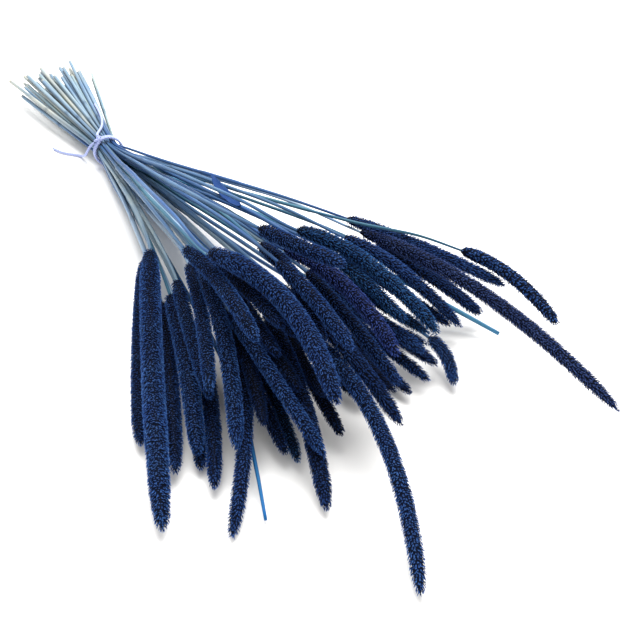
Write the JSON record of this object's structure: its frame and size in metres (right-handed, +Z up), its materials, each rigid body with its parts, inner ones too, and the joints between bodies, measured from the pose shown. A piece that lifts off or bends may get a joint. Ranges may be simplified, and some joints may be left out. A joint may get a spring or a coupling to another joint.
{
  "type": "tied bunch of dried timothy grass spikes",
  "caption": "Tied bunch of dried, dyed timothy grass: soft cylindrical seed spikes on thin stalks that fan out from a string tie, lying on a surface.",
  "frame": {"origin": "on the surface the bunch lies on, under the middle of its bounding box, measured without the two free string tails", "axes": "+Z up; +Y along the stalks from the spikes to the cut ends; +X to the right when seen from the spikes"},
  "size_m": [0.2058, 0.5056, 0.0674],
  "materials": {
    "spike": "dyed navy blue, matte, bristly",
    "stalk": "dyed steel blue fading to straw grey at the cut ends, satin",
    "leaf": "dyed blue dry leaf, matte with fine veins",
    "string": "pale lilac twisted string, soft"
  },
  "bodies": {
    "root": {"timothy_stem_01": "spike", "timothy_stem_02": "spike", "timothy_stem_03": "spike", "timothy_stem_04": "spike", "timothy_stem_05": "spike", "timothy_stem_06": "spike", "timothy_stem_07": "spike", "timothy_stem_08": "spike", "timothy_stem_09": "spike", "timothy_stem_10": "spike", "timothy_stem_11": "spike", "timothy_stem_12": "spike", "timothy_stem_13": "spike", "timothy_stem_14": "spike", "timothy_stem_15": "spike", "timothy_stem_16": "spike", "timothy_stem_17": "spike", "timothy_stem_18": "spike", "timothy_stem_19": "spike", "timothy_stem_20": "spike", "timothy_stem_21": "spike", "timothy_stem_22": "spike", "timothy_stem_23": "spike", "timothy_stem_24": "spike", "timothy_stem_25": "spike", "timothy_stem_26": "spike", "timothy_stem_27": "spike", "timothy_stem_28": "spike", "timothy_stem_29": "spike", "timothy_stem_30": "spike", "timothy_stem_31": "spike", "timothy_stem_32": "spike", "timothy_stem_33": "spike", "timothy_stem_34": "spike", "timothy_stem_35": "spike", "timothy_stem_36": "spike", "timothy_stem_37": "spike", "timothy_stem_38": "spike", "timothy_stem_39": "spike", "timothy_stem_40": "spike", "timothy_stem_41": "spike", "timothy_stem_42": "spike", "timothy_stem_43": "spike", "timothy_stem_44": "spike", "timothy_stem_45": "spike", "timothy_stem_46": "spike", "timothy_stem_47": "spike", "timothy_stem_48": "spike", "bare_stem_01": "stalk", "bare_stem_02": "stalk", "leaf_blade": "leaf", "tie_band": "string", "tie_tail_left": "string", "tie_tail_right": "string"}
  },
  "joints": []
}
